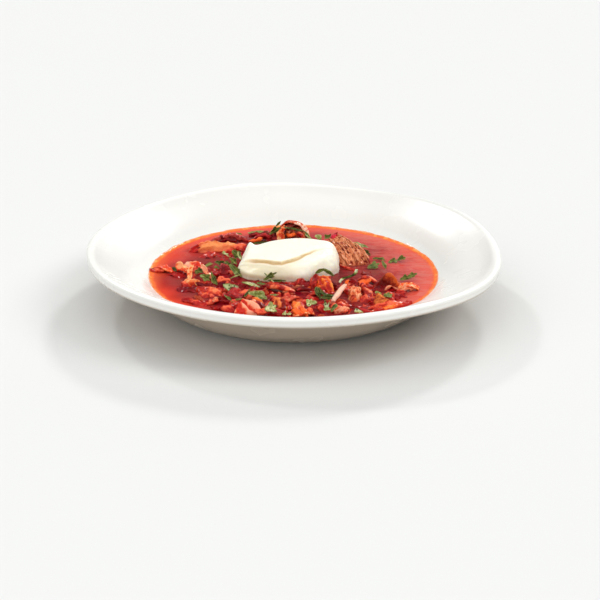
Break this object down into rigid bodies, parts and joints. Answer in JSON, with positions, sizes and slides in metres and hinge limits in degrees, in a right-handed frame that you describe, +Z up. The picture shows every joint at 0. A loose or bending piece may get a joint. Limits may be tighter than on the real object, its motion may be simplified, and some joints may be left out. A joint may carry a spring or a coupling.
{
  "type": "borscht",
  "caption": "Beetroot soup in a wide-rimmed white soup plate, with vegetables, flaked beef and a dollop of sour cream.",
  "frame": {"origin": "centre of the plate's foot, on the surface that it stands on", "axes": "+Z up, -Y towards the diner, +X to the diner's right"},
  "size_m": [0.2809, 0.2795, 0.0429],
  "materials": {
    "porcelain": "gloss",
    "broth": "gloss",
    "stewed_vegetables": "gloss",
    "sour_cream": "satin",
    "beef": "satin",
    "potato": "gloss",
    "carrot": "gloss",
    "cabbage": "gloss",
    "beetroot": "gloss",
    "pepper": "gloss"
  },
  "bodies": {
    "root": {"beef_back": "beef", "beef_flake": "beef", "beef_front": "beef", "beetroot_back": "beetroot", "beetroot_dice": "beetroot", "beetroot_left": "beetroot", "beetroot_low": "beetroot", "beetroot_wedge": "beetroot", "broth": "broth", "cabbage_back": "cabbage", "cabbage_crest": "cabbage", "cabbage_curl": "cabbage", "cabbage_edge": "cabbage", "cabbage_fork": "cabbage", "cabbage_front": "cabbage", "cabbage_rib": "cabbage", "cabbage_right": "cabbage", "carrot_chip": "carrot", "carrot_cube": "carrot", "carrot_edge": "carrot", "carrot_long": "carrot", "carrot_wedge": "carrot", "pepper_back": "pepper", "pepper_big": "pepper", "pepper_fan": "pepper", "pepper_skin": "pepper", "pepper_sliver": "pepper", "pepper_strip": "pepper", "pepper_tent": "pepper", "potato_round": "potato", "potato_wedge": "potato", "soup_plate": "porcelain", "sour_cream": "sour_cream", "stewed_vegetables": "stewed_vegetables"}
  },
  "joints": []
}
